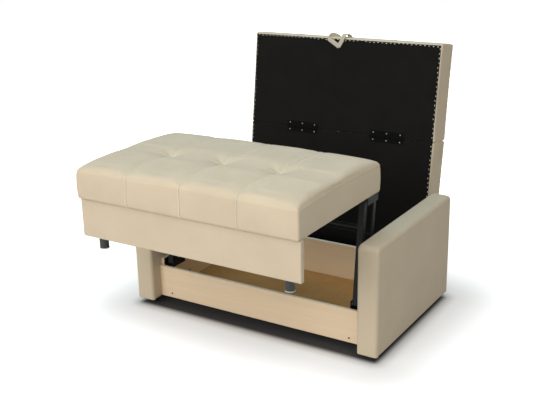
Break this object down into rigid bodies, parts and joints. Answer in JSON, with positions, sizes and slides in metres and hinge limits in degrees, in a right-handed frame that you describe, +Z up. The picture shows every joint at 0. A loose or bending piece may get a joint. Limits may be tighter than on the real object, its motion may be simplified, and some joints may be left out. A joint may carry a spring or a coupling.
{
  "type": "sofa bed",
  "caption": "Fabric sofa bed with a storage box, its seat swinging up and forward on steel arms and a padded two-section folding back that opens into the rest of the bed.",
  "frame": {"origin": "on the floor, under the middle of the sofa bed's box in the stored pose", "axes": "+X to the right as seen from the front, +Y to the rear, +Z up"},
  "size_m": [1.46, 1.7295, 1.3784],
  "materials": {
    "upholstery": "woven beige upholstery cloth",
    "black_lining": "black non-woven lining cloth",
    "webbing": "beige-grey webbing",
    "laminated_board": "particle board with a light wood face",
    "fibreboard": "thin brown fibreboard",
    "covered_panel": "board under black lining cloth",
    "timber": "sawn softwood and particle board",
    "black_plastic": "matte",
    "grey_nylon": "matte",
    "black_steel": "satin black paint",
    "zinc_steel": "satin zinc plate",
    "zinc_screws": "satin zinc plate"
  },
  "bodies": {
    "sofa_base": {"arm_bolts": "zinc_screws", "arm_cover_left": "upholstery", "arm_cover_right": "upholstery", "arm_glides": "black_plastic", "arm_inner_boards": "timber", "arm_outer_boards": "timber", "arm_posts": "timber", "arm_rails": "timber", "back_pivot_pins": "zinc_steel", "base_bracket_left": "black_steel", "base_bracket_right": "black_steel", "base_ear_left": "black_steel", "base_ear_right": "black_steel", "box_back_panel": "covered_panel", "box_floor": "fibreboard", "box_front_board": "laminated_board", "box_rear_board": "laminated_board", "box_side_board_left": "laminated_board", "box_side_board_right": "laminated_board", "corner_blocks": "timber", "floor_battens": "timber", "front_board_screws": "zinc_screws", "lower_pivot_pins": "zinc_steel", "lower_pivot_spacers": "zinc_steel"},
    "swing_arms": {"swing_arm_left": "black_steel", "swing_arm_right": "black_steel", "cross_tube": "black_steel"},
    "second_arms": {"second_arm_left": "black_steel", "second_arm_right": "black_steel"},
    "seat": {"fascia_board": "timber", "fascia_cover": "upholstery", "leg_glides": "grey_nylon", "leg_plates": "black_steel", "seat_board": "timber", "seat_bracket_left": "black_steel", "seat_bracket_right": "black_steel", "seat_cushion": "upholstery", "seat_leg_left": "black_plastic", "seat_leg_right": "black_plastic", "seat_lining": "black_lining", "upper_pivot_pins": "zinc_steel", "upper_pivot_spacers": "zinc_steel"},
    "back_lower": {"back_ear_left": "black_steel", "back_ear_right": "black_steel", "back_ear_screws": "zinc_screws", "back_lower_board": "timber", "back_lower_cushion": "upholstery", "back_lower_lining": "black_lining", "hinge_lower_leaf_left": "black_steel", "hinge_lower_leaf_right": "black_steel", "hinge_lower_screws": "zinc_screws", "hinge_pins": "zinc_steel"},
    "back_upper": {"back_upper_board": "timber", "back_upper_cushion": "upholstery", "back_upper_lining": "black_lining", "hinge_upper_leaf_left": "black_steel", "hinge_upper_leaf_right": "black_steel", "hinge_upper_screws": "zinc_screws", "pull_strap": "webbing"}
  },
  "joints": [
    {"name": "seat_swing", "type": "hinge", "parent": "sofa_base", "child": "swing_arms", "pos_m": [0, -0.24175, 0.236], "axis": [1, 0, 0], "range_deg": [-83, 97]},
    {"name": "seat_level", "type": "hinge", "parent": "swing_arms", "child": "seat", "pos_m": [0, -0.17838, 0.75212], "axis": [1, 0, 0], "range_deg": [-97, 83]},
    {"name": "second_arm_swing", "type": "hinge", "parent": "sofa_base", "child": "second_arms", "pos_m": [0, -0.17675, 0.236], "axis": [1, 0, 0], "range_deg": [-83, 97]},
    {"name": "back_tilt", "type": "hinge", "parent": "sofa_base", "child": "back_lower", "pos_m": [0, 0.54825, 0.262], "axis": [1, 0, 0], "range_deg": [0, 8]},
    {"name": "back_fold", "type": "hinge", "parent": "back_lower", "child": "back_upper", "pos_m": [0, 0.62528, 0.84243], "axis": [1, 0, 0], "range_deg": [0, 180]}
  ],
  "couplings": [
    {"joint": "seat_level", "follows": "seat_swing", "ratio": -1},
    {"joint": "second_arm_swing", "follows": "seat_swing", "ratio": 1}
  ]
}
